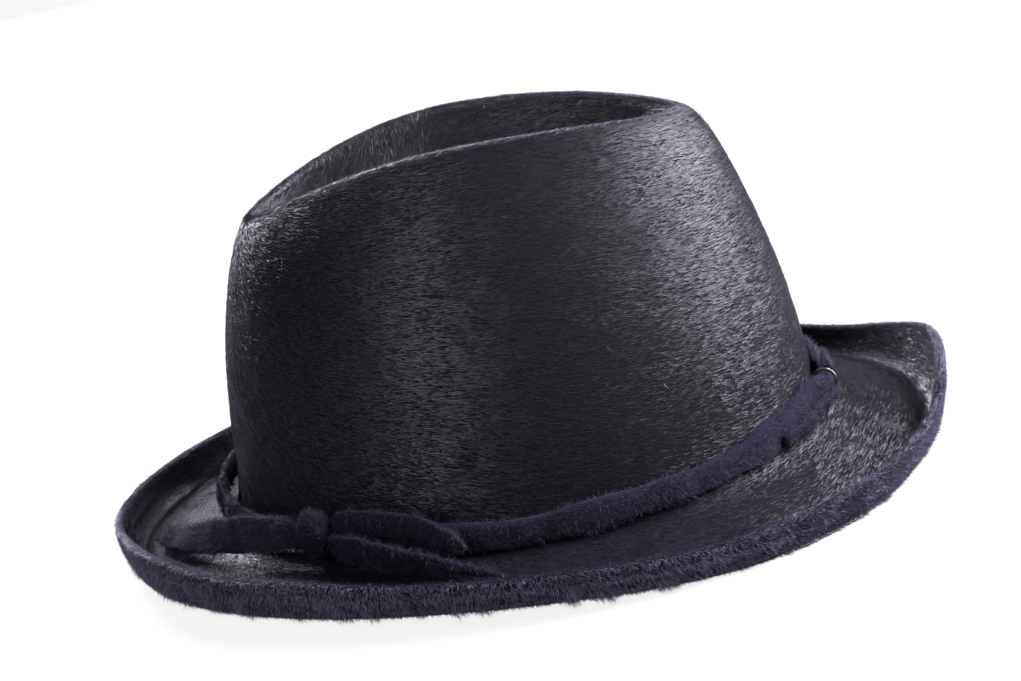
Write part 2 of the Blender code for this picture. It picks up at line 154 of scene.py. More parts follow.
# Strap round the crown: turn, height of its middle above the head line as a share of BAND_HEIGHT
BAND_ROWS = (
    (0, 0.58), (20, 0.60), (45, 0.66), (60, 0.78), (73, 0.88), (86, 0.84), (100, 0.72), (130, 0.60),
    (180, 0.57), (230, 0.58), (262, 0.72), (285, 0.70), (300, 0.62), (319, 0.57), (345, 0.57),
)
# How far the strap hangs clear of the crown: turn, share of BAND_THICKNESS
SLACK_ROWS = (
    (0, 0.0), (55, 0.0), (95, 0.0), (150, 0.0), (200, 0.0), (235, 0.35), (262, 1.10), (284, 1.60),
    (296, 1.35), (308, 0.35), (315, 0.0), (325, 0.0), (340, 0.0),
)
# Strips of felt. A row is a share of the strip's reach round the crown, its distance from the crown wall and
# its height over the brim as shares of KNOT_DEPTH and KNOT_HEIGHT, its width and thickness as shares of
# STRAP_WIDTH and STRAP_THICKNESS, and its lean in degrees: 0 stands on edge, 90 lies flat.
LEFT_TAIL_REACH = -41.0
LEFT_TAIL_ROWS = (
    (0.00, 0.95, 0.72, 0.95, 1.0, 0), (0.18, 1.15, 0.70, 1.25, 1.0, 8), (0.38, 1.45, 0.60, 1.30, 1.0, 18),
    (0.60, 1.90, 0.46, 1.20, 1.0, 40), (0.82, 2.55, 0.32, 0.95, 1.0, 58), (1.00, 3.15, 0.28, 0.60, 0.8, 62),
)
RIGHT_LOOP_REACH = 24.0
RIGHT_LOOP_ROWS = (
    (0.00, 0.66, 0.98, 0.60, 1.0, 0), (0.20, 0.64, 0.99, 0.85, 1.0, 0), (0.50, 0.64, 0.93, 0.90, 1.0, 4),
    (0.75, 0.74, 0.82, 0.90, 1.0, 10), (0.92, 0.94, 0.62, 0.75, 1.0, 18), (1.00, 1.02, 0.46, 0.50, 0.8, 24),
)
RIGHT_TAIL_REACH = 30.0
RIGHT_TAIL_ROWS = (
    (0.00, 0.98, 0.58, 0.80, 1.0, 6), (0.20, 1.18, 0.54, 1.10, 1.0, 12), (0.45, 1.42, 0.46, 1.15, 1.0, 24),
    (0.70, 1.72, 0.36, 0.95, 1.0, 38), (0.88, 2.00, 0.28, 0.70, 1.0, 48), (1.00, 2.22, 0.24, 0.36, 0.8, 52),
)
# Strands at the ring: turn past the ring, then as above with shares of the ring's radius, STRAP_WIDTH and
# STRAP_THICKNESS, measured from the ring's centre
LEFT_STRAND_ROWS = (
    (-24.0, 0.80, -0.60, 0.40, 0.80, 0), (-17.0, 0.95, -0.95, 0.50, 0.90, 10),
    (-9.5, 0.95, -1.05, 0.52, 0.90, 20),
    (-4.5, 0.90, -0.95, 0.42, 0.85, 30), (-1.0, 0.66, -0.74, 0.28, 0.75, 40),
)
BACK_STRAND_ROWS = (
    (0.9, 0.62, 0.76, 0.26, 0.75, -30), (5.0, 0.78, 0.72, 0.36, 0.85, -18),
    (12.0, 0.82, 0.35, 0.38, 0.85, -6),
    (22.0, 0.80, -0.20, 0.26, 0.75, 0),
)

# How the nap lies on the crown: turn, degrees upwards from level
CROWN_LAY_ROWS = (
    (0, -8), (20, -4), (45, -2), (65, 0), (85, 2), (120, -4), (180, 4), (225, -4), (262, -24), (285, -26),
    (310, -16), (335, -8),
)
# How the nap lies in the dent, seen from the left: distance to the back in metres, degrees upwards from level
DENT_LAY_ROWS = (
    (-0.085, 50), (-0.060, 54), (-0.046, 66), (-0.036, 78), (-0.026, 80), (-0.018, 58), (-0.010, 10),
    (0.000, -8), (0.020, -10), (0.060, -34), (0.085, -20),
)

FELT_GRID_TURNS = 720
FELT_GRID_STEP = 0.0007
FELT_AROUND = 240
FELT_STEP = 0.0018
LINING_STEP = 0.0030
BAND_AROUND = 420
STRIP_STEPS = 90
SECTION_AROUND = 24
KNOT_ROWS = 40
KNOT_COLUMNS = 56
KNOT_SOFTNESS = 0.8
RING_STEPS = 96
WIRE_STEPS = 14
FACE_FLATNESS = 0.5
EDGE_ROUNDNESS = 0.7
END_ROUNDING = 0.0015
HEM_LINE = 0.0046
HEM_GROOVE = 0.0004
HEM_GROOVE_WIDTH = 0.0007
HEM_ANGLES = (30, 60, 90, 120, 150)
WELD_DISTANCE = 0.00002

# Nap: how many fibres, then the shortest and longest and the thinnest and thickest fibre
CROWN_FIBRES = {"crown_nap_left": 165_000, "crown_nap_right": 120_000}
DENT_FIBRES = 100_000
RIDGE_FIBRES = 14_000
BRIM_FIBRES = 140_000
RIM_FIBRES = 170_000
STRAY_HAIRS = 420
BAND_FIBRES = 64_000
STRIP_FIBRES = (11_000, 6_000, 8_000, 5_000, 4_000, 3_000)
LONG_NAP = (0.0020, 0.0042), (0.00014, 0.00028)
BRIM_NAP = (0.0018, 0.0036), (0.00014, 0.00028)
RIM_NAP = (0.0009, 0.0021), (0.00012, 0.00024)
RIDGE_NAP = (0.0009, 0.0019), (0.00012, 0.00022)
STRAP_NAP = (0.0010, 0.0026), (0.00012, 0.00024)
STRAY_NAP = (0.0035, 0.0075), (0.00012, 0.00020)
STRAY_LIFT = 0.0004
# How far the nap of one face runs on past its edge, and the ridge's fuzz to each side of it
FOOT_OVERLAP = 0.001
RIDGE_OVERLAP = 0.004
DENT_OVERLAP = 0.003
BEND_OVERLAP = 0.012
RIDGE_FUZZ_IN = 0.0022
RIDGE_FUZZ_OUT = 0.0012


def curve_through(rows, places):
    """Smooth curve through rows whose first column is the place: a cubic between each pair of rows."""
    rows = np.array(rows, float)
    slopes = np.gradient(rows, rows[:, 0], axis=0)
    index = np.clip(np.searchsorted(rows[:, 0], places, side="right") - 1, 0, len(rows) - 2)
    span = (rows[index + 1, 0] - rows[index, 0])[:, None]
    u = (places - rows[index, 0])[:, None] / span
    start, end = rows[index], rows[index + 1]
    rise = (2 * u**3 - 3 * u**2 + 1) * start + (3 * u**2 - 2 * u**3) * end
    bend = (u**3 - 2 * u**2 + u) * span * slopes[index] + (u**3 - u**2) * span * slopes[index + 1]
    return rise + bend


def round_the_crown(rows, turns):
    """Smooth closed curve through (turn, value) rows, read at the given turns."""
    table = np.array(rows, float)
    before, after = table.copy(), table.copy()
    before[:, 0] -= 360.0
    after[:, 0] += 360.0
    return curve_through(np.vstack([before, table, after]), np.mod(turns, 360.0))[:, 1]


def ease(values, low, high):
    """0 below low, 1 above high, and a smooth step between them."""
    share = np.clip((values - low) / (high - low), 0, 1)
    return share * share * (3 - 2 * share)


def unit(vectors):
    return vectors / np.maximum(np.linalg.norm(vectors, axis=-1, keepdims=True), 1e-12)


def patches(across, along, cells_across, cells_along, seed):
    """Soft random patches from -1 to 1: random values at the corners of a grid of cells, eased between them.

    across and along run from 0 to 1, and the pattern closes on itself across."""
    corners = np.random.default_rng(seed).uniform(-1, 1, (cells_across, cells_along + 2))
    a, b = np.mod(across, 1.0) * cells_across, np.clip(along, 0, 1) * cells_along
    i, j = a.astype(int) % cells_across, b.astype(int)
    u, v = ease(a - np.floor(a), 0, 1), ease(b - j, 0, 1)
    after = (i + 1) % cells_across
    near = corners[i, j] * (1 - u) + corners[after, j] * u
    far = corners[i, j + 1] * (1 - u) + corners[after, j + 1] * u
    return near * (1 - v) + far * v


def oval(turns, width, length, shift=0.0, point=1.0):
    """Outline in plan. A point above 1 draws its front and back to a tip, below 1 it is fuller."""
    across, along = np.cos(np.radians(turns)), np.sin(np.radians(turns))
    x = width / 2 * np.sign(across) * np.abs(across) ** point
    return np.column_stack([x, shift + length / 2 * along])


def towards(turns, front, back):
    """Share that grows from the sides to 1 at the front, and to 1 at the back, times each value."""
    along = np.sin(np.radians(turns))
    return front * np.clip(-along, 0, 1) ** 2 + back * np.clip(along, 0, 1) ** 2


def head_outline(turns):
    return oval(turns, HEAD_WIDTH, HEAD_LENGTH)


def head_height(turns):
    return HEAD_LINE_HEIGHT + towards(turns, 0.0, HEAD_LINE_BACK_RISE)


def ridge_outline(turns):
    return oval(turns, RIDGE_WIDTH, RIDGE_LENGTH, RIDGE_SHIFT, RIDGE_POINT)


def ridge_height(turns):
    return RIDGE_HEIGHT - towards(turns, RIDGE_FRONT_FALL, RIDGE_BACK_FALL)


def bend_outline(turns):
    return oval(turns, HEAD_WIDTH + 2 * BRIM_SIDES, HEAD_LENGTH + 2 * BRIM_ENDS, point=BRIM_POINT)


def bend_height(turns):
    return WALL - REST_PRESS + BEND_ARCH * round_the_crown(ARCH_ROWS, turns)


def rim_outline(turns):
    sides = HEAD_WIDTH + 2 * (BRIM_SIDES + CURL_SIDES)
    ends = HEAD_LENGTH + 2 * (BRIM_ENDS + CURL_ENDS)
    return oval(turns, sides, ends, point=BRIM_POINT)


def wall_outline(turns, heights):
    """Outline of the crown wall at the given heights, one height for each turn."""
    table = np.array(CROWN_ROWS)
    low, high = head_height(turns), ridge_height(turns)
    rise = np.clip((heights - low) / (high - low), 0, 1)
    side, front, back = [np.interp(rise, table[:, 0], column) for column in table[:, 1:].T]
    share = side + towards(turns, front - side, back - side)
    head = head_outline(turns)
    return head + (ridge_outline(turns) - head) * share[:, None]


def brim_height(turns, distance):
    """Height of the brim's upper face at a distance out from the crown."""
    table = np.array(BRIM_ROWS)
    width = np.linalg.norm(bend_outline(turns) - head_outline(turns), axis=1)
    drop = np.interp(distance / width, table[:, 0], table[:, 1])
    return head_height(turns) + (bend_height(turns) - head_height(turns)) * drop


def outward(turns):
    """Unit direction away from the crown, level with the ground."""
    along = head_outline(turns + DIRECTION_STEP) - head_outline(turns - DIRECTION_STEP)
    normal = np.column_stack([along[:, 1], -along[:, 0]])
    return unit(normal)


def beside_crown(turns, distance, heights):
    """Points at the given heights and distances out from the crown wall."""
    plan = wall_outline(turns, heights) + outward(turns) * np.reshape(distance, (-1, 1))
    return np.column_stack([plan, heights])


RIDGE_ROW = len(DENT_ROWS) - 1
HEAD_ROW = RIDGE_ROW + len(CROWN_ROWS) - 1
BEND_ROW = HEAD_ROW + len(BRIM_ROWS) - 1


def felt_rows(turns):
    """Rows of points on the felt's upper face, one for each row of the tables, from the crease to the rim."""
    along = np.sin(np.radians(turns))
    even = np.arcsin(along) / (np.pi / 2)
    ridge, top = ridge_outline(turns), ridge_height(turns)
    crease = np.column_stack([0 * even, RIDGE_SHIFT + RIDGE_LENGTH / 2 * CREASE_SHARE * even])
    depth = DENT_DEPTH * (1 - towards(turns, DENT_FRONT_FILL, DENT_BACK_FILL))
    rows = []
    for across, drop in DENT_ROWS[:0:-1]:
        point = RIDGE_POINT + (CREASE_POINT - RIDGE_POINT) * across
        lip = oval(turns, RIDGE_WIDTH, RIDGE_LENGTH, RIDGE_SHIFT, point)
        rows.append(np.column_stack([lip + (crease - lip) * across, top - depth * drop]))
    head, low = head_outline(turns), head_height(turns)
    for rise, side, front, back in CROWN_ROWS[::-1]:
        share = side + towards(turns, front - side, back - side)
        rows.append(np.column_stack([head + (ridge - head) * share[:, None], low + (top - low) * rise]))
    bend, foot = bend_outline(turns), bend_height(turns)
    for out, drop in BRIM_ROWS[1:]:
        rows.append(np.column_stack([head + (bend - head) * out, low + (foot - low) * drop]))
    rim = rim_outline(turns)
    edge = RIM_RISE * round_the_crown(RIM_ROWS, turns) + round_the_crown(RIM_WAVE_ROWS, turns)
    for out, rise in CURL_ROWS[1:]:
        rows.append(np.column_stack([bend + (rim - bend) * out, foot + (edge - foot) * rise]))
    return np.array(rows)


def felt_grid(turns, step):
    """Grid of points on the upper face, its places, and the places of the ridge, the head line and the bend.

    Each column is a smooth curve through its rows, and a row's place is its mean distance from the crease."""
    rows = felt_rows(turns)
    steps = np.linalg.norm(np.diff(rows, axis=0), axis=2).mean(axis=1)
    stations = np.concatenate([[0.0], np.cumsum(steps)])
    end = stations[-1] - HEM_THICKNESS / 2
    places = np.linspace(0.0, end, int(round(end / step)) + 1)
    table = np.column_stack([stations, rows.reshape(len(rows), -1)])
    grid = curve_through(table, places)[:, 1:].reshape(len(places), len(turns), 3)
    return grid, places, stations[[RIDGE_ROW, HEAD_ROW, BEND_ROW]]


def around_normals(grid):
    """Unit normals of a grid that closes on itself round the crown, pointing up or away from the crown."""
    across = np.roll(grid, -1, axis=1) - np.roll(grid, 1, axis=1)
    along = np.gradient(grid, axis=0)
    return unit(np.cross(along, across))


def felt_normals(grid):
    """Normals of the felt's upper face. At the crease both sides share one normal."""
    normals = around_normals(grid)
    count = grid.shape[1]
    mirror = (count // 2 - np.arange(count)) % count
    normals[0] = unit(normals[0] + normals[0][mirror])
    return normals


def felt_thickness(places):
    """The wall's thickness along the felt: plain up to the hem, thicker at the rim."""
    return WALL + (HEM_THICKNESS - WALL) * ease(places, places[-1] - HEM_WIDTH, places[-1] - HEM_WIDTH / 2)


def make_mesh(name, points, faces, materials, corner_uv, uv_names=("felt",), face_material=None, smooth=True):
    """Mesh object at the origin, from arrays of points and faces, with the same map under each name."""
    mesh = bpy.data.meshes.new(name)
    size = faces.shape[1]
    mesh.vertices.add(len(points))
    mesh.vertices.foreach_set("co", np.ascontiguousarray(points, np.float32).ravel())
    mesh.loops.add(faces.size)
    mesh.loops.foreach_set("vertex_index", np.ascontiguousarray(faces, np.int32).ravel())
    mesh.polygons.add(len(faces))
    mesh.polygons.foreach_set("loop_start", np.arange(0, faces.size, size, dtype=np.int32))
    if face_material is not None:
        mesh.polygons.foreach_set("material_index", np.ascontiguousarray(face_material, np.int32))
    mesh.polygons.foreach_set("use_smooth", np.full(len(faces), smooth))
    for uv_name in uv_names:
        layer = mesh.uv_layers.new(name=uv_name)
        layer.data.foreach_set("uv", np.ascontiguousarray(corner_uv, np.float32).ravel())
    mesh.update(calc_edges=True)
    mesh.validate()
    for material in materials:
        mesh.materials.append(material)
    piece = bpy.data.objects.new(name, mesh)
    bpy.context.scene.collection.objects.link(piece)
    return piece


def grid_faces(rows, columns, closed_along=False):
    """Quads of a grid that closes on itself across its columns, and the row and column of each corner."""
    i, j = np.meshgrid(np.arange(rows if closed_along else rows - 1), np.arange(columns), indexing="ij")
    i, j = i.ravel(), j.ravel()
    row = np.stack([i, i + 1, i + 1, i], axis=1)
    column = np.stack([j, j, j + 1, j + 1], axis=1)
    faces = (row % rows) * columns + column % columns
    return faces, row, column


def weld(piece):
    """Merge the points that two sides of a seam share."""
    build = bmesh.new()
    build.from_mesh(piece.data)
    bmesh.ops.remove_doubles(build, verts=build.verts, dist=WELD_DISTANCE)
    build.to_mesh(piece.data)
    build.free()


def hem_groove(places):
    """Depth of the groove that the hem's stitches pull in, a line HEM_LINE inside the rim."""
    return HEM_GROOVE * np.exp(-(((places - places[-1] + HEM_LINE) / HEM_GROOVE_WIDTH) ** 2))


def hem_arc(upper, under, normals, angles):
    """The rim's rounded edge: a half circle from the upper face's last row to the under face's.

    Gives its points and its normals, one row for each angle in degrees from the upper face."""
    out = unit(upper[-1] - upper[-2])
    angles = np.radians(angles)[:, None, None]
    spokes = normals[-1] * np.cos(angles) + out * np.sin(angles)
    return (upper[-1] + under[-1]) / 2 + spokes * HEM_THICKNESS / 2, spokes


def hat_surface(material, inside):
    """The felt shell as one closed surface: upper face, rounded hem, then the under face back to the crease.

    The under face is the upper face moved down its normals by the wall's thickness, and is level at z = 0."""
    turns = np.arange(FELT_AROUND) * 360.0 / FELT_AROUND
    grid, places, _ = felt_grid(turns, FELT_STEP)
    normals = felt_normals(grid)
    grid = grid - normals * hem_groove(places)[:, None, None]
    under, under_places, _ = felt_grid(turns, LINING_STEP)
    thickness = felt_thickness(under_places)
    under = under - felt_normals(under) * thickness[:, None, None]
    hem, _ = hem_arc(grid, under, normals, np.array(HEM_ANGLES))
    whole = np.concatenate([grid, hem, under[::-1]])
    whole[:, :, 2] = np.maximum(whole[:, :, 2], 0.0)
    faces, row, column = grid_faces(*whole.shape[:2])
    hem_places = places[-1] + HEM_THICKNESS / 2 * np.radians(HEM_ANGLES)
    back_places = places[-1] + HEM_THICKNESS + places[-1] - under_places[::-1]
    all_places = np.concatenate([places, hem_places, back_places])
    girth = np.pi * (HEAD_LENGTH + HEAD_WIDTH) / 2
    uv = np.stack([column / FELT_AROUND * girth, all_places[row]], axis=2)
    under_start = len(places) + len(hem)
    head_place = felt_grid(turns[:4], FELT_STEP)[2][1]
    inside_start = under_start + int(np.sum(under_places > head_place))
    face_material = (row[:, 0] >= inside_start).astype(int)
    piece = make_mesh("hat_felt", whole.reshape(-1, 3), faces, [material, inside], uv,
                      face_material=face_material)
    weld(piece)
    return piece


def pick_from_grid(grid, normals, count, rng, density=1.0, closed=True):
    """Random spots spread over a grid's area: point, normal, directions across and along, row and column.

    density is how thickly the spots lie in each row of cells."""
    if closed:
        grid = np.concatenate([grid, grid[:, :1]], axis=1)
        normals = np.concatenate([normals, normals[:, :1]], axis=1)
    across = grid[:-1, 1:] - grid[:-1, :-1]
    along = grid[1:, :-1] - grid[:-1, :-1]
    area = np.linalg.norm(np.cross(across, along), axis=2) * np.reshape(density, (-1, 1))
    total = np.cumsum(area.ravel())
    cell = np.minimum(np.searchsorted(total, rng.uniform(0, total[-1], count)), area.size - 1)
    i, j = cell // area.shape[1], cell % area.shape[1]
    u, v = rng.uniform(0, 1, (2, count, 1))

    def blend(values):
        near = values[i, j] * (1 - u) + values[i, j + 1] * u
        far = values[i + 1, j] * (1 - u) + values[i + 1, j + 1] * u
        return near * (1 - v) + far * v

    return blend(grid), unit(blend(normals)), unit(across[i, j]), unit(along[i, j]), i + v[:, 0], j + u[:, 0]


def turned(first, second, angle):
    """Directions turned by an angle in radians, from the first towards the second."""
    return first * np.cos(angle)[:, None] + second * np.sin(angle)[:, None]


def lay_nap(name, points, normals, directions, lift, length, width, tone, rng, material):
    """Fibres as thin triangles. Each has two corners at its root and one at its tip.

    A fibre runs from its root along its direction, raised from the felt by its lift in degrees. Its width lies
    across the direction, turned about it by a random roll. The map holds the tone across and the share of the
    length along."""
    roll = np.radians(rng.normal(0, NAP_ROLL, len(points)))
    directions = unit(directions - normals * np.sum(directions * normals, axis=1, keepdims=True))
    side = turned(np.cross(normals, directions), normals, roll)
    reach = turned(directions, normals, np.radians(lift))
    root = points - normals * NAP_SINK
    corners = np.stack([root + side * width[:, None] / 2, root - side * width[:, None] / 2,
                        root + reach * length[:, None]], axis=1)
    corners[:, :, 2] = np.maximum(corners[:, :, 2], 0.0)
    faces = np.arange(len(points) * 3).reshape(-1, 3)
    across = 0.02 + 0.96 * np.clip(tone, 0, 1)
    uv = np.stack([np.stack([across - 0.004, np.full_like(across, 0.03)], axis=1),
                   np.stack([across + 0.004, np.full_like(across, 0.03)], axis=1),
                   np.stack([across, np.full_like(across, 0.97)], axis=1)], axis=1)
    return make_mesh(name, corners.reshape(-1, 3), faces, [material], uv, ("OFBake", "fibre"), smooth=False)


def brushed_nap(name, points, normals, directions, lift, sizes, fade, shade, rng, material, stretch=1.0):
    """Nap with random lengths and widths between the given sizes, the lengths times stretch.

    A tone is a random number to the power fade, which makes most fibres dark, plus the shade."""
    lengths, widths = sizes
    count = len(points)
    length = rng.uniform(*lengths, count) * stretch
    width = rng.uniform(*widths, count)
    tone = rng.uniform(0, 1, count) ** fade + shade
    return lay_nap(name, points, normals, directions, lift, length, width, tone, rng, material)


def new_material(name):
    material = bpy.data.materials.new(name)
    material.use_nodes = True
    return material, material.node_tree.nodes, material.node_tree.links


def set_inputs(node, values):
    for socket, value in values.items():
        node.inputs[socket].default_value = value


def set_ramp(ramp, stops):
    """Give a colour ramp its stops: place, colour."""
    while len(ramp.elements) < len(stops):
        ramp.elements.new(1.0)
    for element, (place, colour) in zip(ramp.elements, stops):
        element.position = place
        element.color = (*colour, 1.0)


def streak_group():
    """Shared effect: fine streaks along one direction of a map in metres, as one value."""
    group = bpy.data.node_groups.new("nap streaks", "ShaderNodeTree")
    sockets = {"Place": "NodeSocketVector", "Along": "NodeSocketFloat", "Across": "NodeSocketFloat"}
    for socket, kind in sockets.items():
        group.interface.new_socket(socket, in_out="INPUT", socket_type=kind)
    group.interface.new_socket("Value", in_out="OUTPUT", socket_type="NodeSocketFloat")
    nodes, links = group.nodes, group.links
    source, out = nodes.new("NodeGroupInput"), nodes.new("NodeGroupOutput")
    scale = nodes.new("ShaderNodeCombineXYZ")
    links.new(source.outputs["Along"], scale.inputs[0])
    links.new(source.outputs["Across"], scale.inputs[1])
    stretched = nodes.new("ShaderNodeVectorMath")
    stretched.operation = "MULTIPLY"
    links.new(source.outputs["Place"], stretched.inputs[0])
    links.new(scale.outputs[0], stretched.inputs[1])
    fine = nodes.new("ShaderNodeTexNoise")
    set_inputs(fine, {"Scale": 1.0, "Detail": 3.0, "Distortion": 0.4})
    links.new(stretched.outputs[0], fine.inputs["Vector"])
    links.new(fine.outputs["Fac"], out.inputs["Value"])
    return group


def felt_ground(name, streaks, dark, light, along, across, bump_distance, roughness):
    """Felt under the nap: dark wool with streaks that follow the nap's own map."""
    material, nodes, links = new_material(name)
    shader = nodes["Principled BSDF"]
    set_inputs(shader, {"Roughness": roughness, "Specular IOR Level": 0.15, "Sheen Weight": 0.12,
                        "Sheen Roughness": 0.45, "Sheen Tint": (0.55, 0.52, 0.85, 1.0)})
    place = nodes.new("ShaderNodeUVMap")
    place.uv_map = "felt"
    group = nodes.new("ShaderNodeGroup")
    group.node_tree = streaks
    set_inputs(group, {"Along": along, "Across": across})
    links.new(place.outputs[0], group.inputs["Place"])
    ramp = nodes.new("ShaderNodeValToRGB")
    set_ramp(ramp.color_ramp, ((0.35, dark), (0.75, light)))
    links.new(group.outputs["Value"], ramp.inputs[0])
    links.new(ramp.outputs[0], shader.inputs["Base Color"])
    bump = nodes.new("ShaderNodeBump")
    set_inputs(bump, {"Strength": 0.8, "Distance": bump_distance})
    links.new(group.outputs["Value"], bump.inputs["Height"])
    links.new(bump.outputs[0], shader.inputs["Normal"])
    return material


def nap_material(name, dark, middle, light, roughness, specular):
    """Nap fibres: tips as light as the fibre's tone on its map, roots darkened as painted shade deep in the
    nap.
    """
    material, nodes, links = new_material(name)
    shader = nodes["Principled BSDF"]
    set_inputs(shader, {"Roughness": roughness, "Specular IOR Level": specular})
    place = nodes.new("ShaderNodeUVMap")
    place.uv_map = "fibre"
    parts = nodes.new("ShaderNodeSeparateXYZ")
    links.new(place.outputs[0], parts.inputs[0])
    tone = nodes.new("ShaderNodeValToRGB")
    set_ramp(tone.color_ramp, ((0.0, dark), (0.55, middle), (1.0, light)))
    links.new(parts.outputs[0], tone.inputs[0])
    # Painted shade: each fibre grows darker towards its root, where the nap shades itself.
    rise = nodes.new("ShaderNodeValToRGB")
    set_ramp(rise.color_ramp, ((0.0, (0.45, 0.45, 0.45)), (0.6, (1.0, 1.0, 1.0))))
    links.new(parts.outputs[1], rise.inputs[0])
    mix = nodes.new("ShaderNodeMix")
    mix.data_type = "RGBA"
    mix.blend_type = "MULTIPLY"
    mix.inputs[0].default_value = 1.0
    links.new(tone.outputs[0], mix.inputs[6])
    links.new(rise.outputs[0], mix.inputs[7])
    links.new(mix.outputs[2], shader.inputs["Base Color"])
    return material


def wire_material():
    """Pale metal wire, a little tarnished in patches."""
    material, nodes, links = new_material("pale wire")
    shader = nodes["Principled BSDF"]
    shader.inputs["Metallic"].default_value = 1.0
    place = nodes.new("ShaderNodeTexCoord")
    noise = nodes.new("ShaderNodeTexNoise")
    set_inputs(noise, {"Scale": 700.0, "Detail": 3.0})
    links.new(place.outputs["Object"], noise.inputs["Vector"])
    ramp = nodes.new("ShaderNodeValToRGB")
    set_ramp(ramp.color_ramp, ((0.35, (0.10, 0.085, 0.07)), (0.65, (0.62, 0.56, 0.44))))
    links.new(noise.outputs["Fac"], ramp.inputs[0])
    links.new(ramp.outputs[0], shader.inputs["Base Color"])
    rough = nodes.new("ShaderNodeMapRange")
    set_inputs(rough, {"To Min": 0.5, "To Max": 0.2})
    links.new(noise.outputs["Fac"], rough.inputs["Value"])
    links.new(rough.outputs[0], shader.inputs["Roughness"])
    return material


NAP_DARK = (0.0035, 0.0033, 0.0065)
NAP_MIDDLE = (0.0068, 0.0064, 0.0110)
NAP_LIGHT = (0.022, 0.0205, 0.0295)
NAP_ROLL = 13.0
NAP_SINK = 0.00015
LEAST_LIFT = 3.5


def wandering(around, share, cells_across, cells_along, seed):
    """Patches whose rows wander, so that fine streaks keep no straight lines."""
    wander = 1.4 / cells_along * patches(around, share, 34, 9, seed + 100)
    return patches(around + 0.3 * wander, share + wander, cells_across, cells_along, seed)


def crown_nap(grid, normals, places, ridge, head, nap):
    """Nap of the crown wall, laid round it towards the back, in two pieces: left half and right half.

    Wide clumps turn and lift it, and fine streaks along it set its lift and tone."""
    start = int(np.searchsorted(places, ridge - RIDGE_OVERLAP))
    end = int(np.searchsorted(places, head + FOOT_OVERLAP))
    area, face = grid[start:end + 1], normals[start:end + 1]
    half = FELT_GRID_TURNS // 2
    for (name, count), shift in zip(CROWN_FIBRES.items(), (-half // 2, half // 2)):
        rng = np.random.default_rng(11 + count)
        columns = (np.arange(half + 1) + shift) % FELT_GRID_TURNS
        points, normal, across, along, row, column = pick_from_grid(area[:, columns], face[:, columns], count,
                                                                    rng, closed=False)
        turns = (column + shift) * 360.0 / FELT_GRID_TURNS
        around, share = turns / 360.0, row / (end - start)
        clump = patches(around, share, 52, 10, 21)
        streak = wandering(around, share, 150, 120, 22)
        angle = round_the_crown(CROWN_LAY_ROWS, turns) + 6 * clump + 4 * patches(around, share, 170, 40, 23)
        angle = np.radians(angle + rng.normal(0, 3.5, count))
        lift = 8 + 3 * patches(around, share, 90, 24, 25) + 2 * streak + rng.normal(0, 1.5, count)
        shade = 0.12 * streak + 0.10 * clump
        yield brushed_nap(name, points, normal, turned(across, -along, angle), np.maximum(lift, LEAST_LIFT),
                          LONG_NAP, 1.8, shade, rng, nap)


def dent_nap(grid, normals, places, ridge, nap):
    """Nap of the dent, brushed along it in swirls, which turns into the crown's nap over the ridge."""
    count, rng = DENT_FIBRES, np.random.default_rng(13)
    edge = ridge + DENT_OVERLAP
    end = int(np.searchsorted(places, edge))
    points, normal, across, _, row, column = pick_from_grid(grid[:end + 1], normals[:end + 1], count, rng)
    around, share = column / FELT_GRID_TURNS, row / end
    streak = patches(around, share, 260, 30, 32)
    angle = curve_through(DENT_LAY_ROWS, points[:, 1])[:, 1]
    angle = np.radians(angle + 12 * patches(around, share, 60, 6, 31) + rng.normal(0, 6, count))
    inside = np.column_stack([np.zeros_like(angle), np.cos(angle), np.sin(angle)])
    over = ease(share, 1 - 0.011 / edge, 1 - 0.003 / edge)[:, None]
    lift = 10 + 5 * patches(around, share, 120, 12, 33) + 4 * streak + rng.normal(0, 2, count)
    shade = 0.20 * streak + 0.15 * patches(around, share, 40, 4, 34)
    return brushed_nap("dent_nap", points, normal, inside * (1 - over) + across * over,
                       np.maximum(lift, LEAST_LIFT), LONG_NAP, 1.8, shade, rng, nap)


def ridge_fuzz(grid, normals, places, ridge, nap):
    """Short nap that stands up along the ridge, where the felt is bent sharply; its light violet tones are a
    painted highlight for the light the raised fibres catch.
    """
    count, rng = RIDGE_FIBRES, np.random.default_rng(17)
    lengths, widths = RIDGE_NAP
    start, end = np.searchsorted(places, (ridge - RIDGE_FUZZ_IN, ridge + RIDGE_FUZZ_OUT))
    area, face = grid[start:end + 1], normals[start:end + 1]
    points, normal, across, along, _, _ = pick_from_grid(area, face, count, rng)
    direction = across + along * rng.normal(0, 0.4, count)[:, None]
    lift = 38 + rng.normal(0, 14, count)
    length, width = rng.uniform(*lengths, count), rng.uniform(*widths, count)
    # Painted highlight: the ridge's fibres take mostly light tones, for the light they catch from above.
    tone = 0.25 + 0.75 * rng.uniform(0, 1, count)
    return lay_nap("ridge_fuzz", points, normal, direction, lift, length, width, tone, rng, nap)


def brim_nap(grid, normals, places, head, nap):
    """Nap of the brim's upper face, laid round it towards the back and a little outwards.

    It is thin along the hem's line."""
    count, rng = BRIM_FIBRES, np.random.default_rng(14)
    start = int(np.searchsorted(places, head + FOOT_OVERLAP))
    thin = 1 - 0.75 * hem_groove(places)[start:-1] / HEM_GROOVE
    area, face = grid[start:], normals[start:]
    points, normal, across, along, row, column = pick_from_grid(area, face, count, rng, thin)
    around, share = column / FELT_GRID_TURNS, row / (len(places) - 1 - start)
    streak = wandering(around, share, 200, 60, 42)
    angle = -10 + 16 * patches(around, share, 40, 4, 41) + 8 * patches(around, share, 220, 18, 45)
    angle = np.radians(angle + rng.normal(0, 8, count))
    lift = 10 + 5 * patches(around, share, 180, 16, 43) + 4 * streak + rng.normal(0, 3, count)
    shade = 0.18 * streak + 0.12 * patches(around, share, 50, 6, 44)
    return brushed_nap("brim_nap", points, normal, turned(across, -along, angle), np.maximum(lift, LEAST_LIFT),
                       BRIM_NAP, 2.0, shade, rng, nap)


